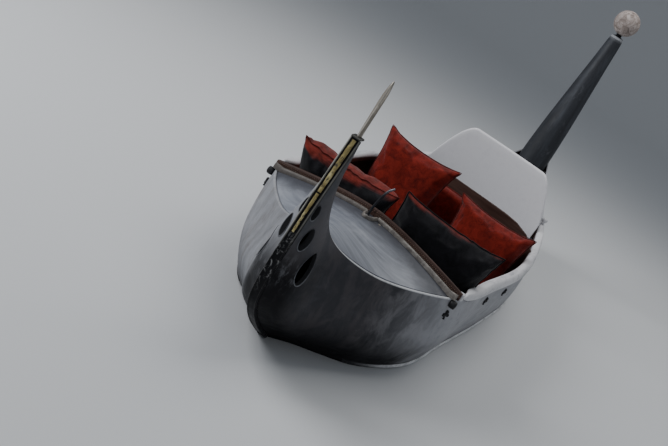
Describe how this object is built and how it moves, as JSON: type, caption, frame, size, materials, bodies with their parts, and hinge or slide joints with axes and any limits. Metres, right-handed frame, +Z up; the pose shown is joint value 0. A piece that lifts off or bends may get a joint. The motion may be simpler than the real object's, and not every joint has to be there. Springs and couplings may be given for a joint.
{
  "type": "gondola boat",
  "caption": "Short ornamental gondola: pierced prow with a spike, decked bow, padded seat with a curved back, aft standing deck and a tall stern post under a ball.",
  "frame": {"origin": "on the centreline amidships, at the waterline: midway between the stem head's line and the stern", "axes": "+X to port, +Y aft, +Z up; the bow points along -Y"},
  "size_m": [0.9488, 3.7075, 1.7644],
  "materials": {
    "hull_paint": "satin pewter-grey paint, streaked and worn",
    "deck_paint": "satin light grey paint with arc-shaped brush streaks",
    "slate_paint": "satin dark slate paint",
    "black_paint": "satin black, chipped at the stem",
    "gold_leaf": "worn and patchy",
    "bright_steel": "polished, a little tarnished",
    "pale_trim": "pale grey paint, scuffed",
    "pale_shell": "smooth pale grey paint",
    "brown_wood": "oiled brown wood",
    "stone": "mottled grey-brown",
    "red_cloth": "rust-red velvet",
    "black_cloth": "black cloth with a red reverse"
  },
  "bodies": {
    "root": {"hull_side_port": "hull_paint", "hull_side_starboard": "hull_paint", "hull_bottom": "hull_paint", "foredeck_port": "deck_paint", "foredeck_starboard": "deck_paint", "rub_strake_port": "pale_trim", "rub_strake_starboard": "pale_trim", "ball_finial": "stone", "backrest_shell": "pale_shell", "rib_2": "brown_wood", "gunwale_port": "pale_trim", "gunwale_starboard": "pale_trim", "rib_5": "brown_wood", "cushion_front_starboard": "black_cloth", "cushion_front_port": "black_cloth", "cushion_rear_starboard": "red_cloth", "cushion_rear_port": "red_cloth", "rib_4": "brown_wood", "rib_3": "brown_wood", "cockpit_floor": "brown_wood", "seat_cushion": "red_cloth", "stem_post": "black_paint", "stern_stem": "slate_paint", "stem_gold_strip": "gold_leaf", "fore_bulkhead": "brown_wood", "club_mark_2_port": "black_paint", "club_mark_2_starboard": "black_paint", "seat_back": "brown_wood", "club_mark_1_port": "black_paint", "club_mark_1_starboard": "black_paint", "stern_post": "slate_paint", "club_mark_3_port": "black_paint", "club_mark_3_starboard": "black_paint", "rib_1": "brown_wood", "bent_rod": "bright_steel", "prow_web": "hull_paint", "ridge_loop": "pale_trim", "back_cushion": "red_cloth", "aft_deck": "deck_paint", "finial_neck": "black_paint", "keel": "slate_paint", "shelf_deck": "deck_paint", "gunwale_knob_port": "pale_trim", "gunwale_knob_starboard": "pale_trim", "aft_bulkhead": "brown_wood", "seat_base": "brown_wood", "corner_knob_port": "black_paint", "corner_knob_starboard": "black_paint", "coaming_strip_port": "pale_trim", "coaming_strip_starboard": "pale_trim", "coaming_board_port": "brown_wood", "coaming_board_starboard": "brown_wood", "front_thwart": "brown_wood", "prow_blade": "bright_steel", "stem_head": "black_paint", "aft_deck_nosing": "pale_trim"}
  },
  "joints": []
}
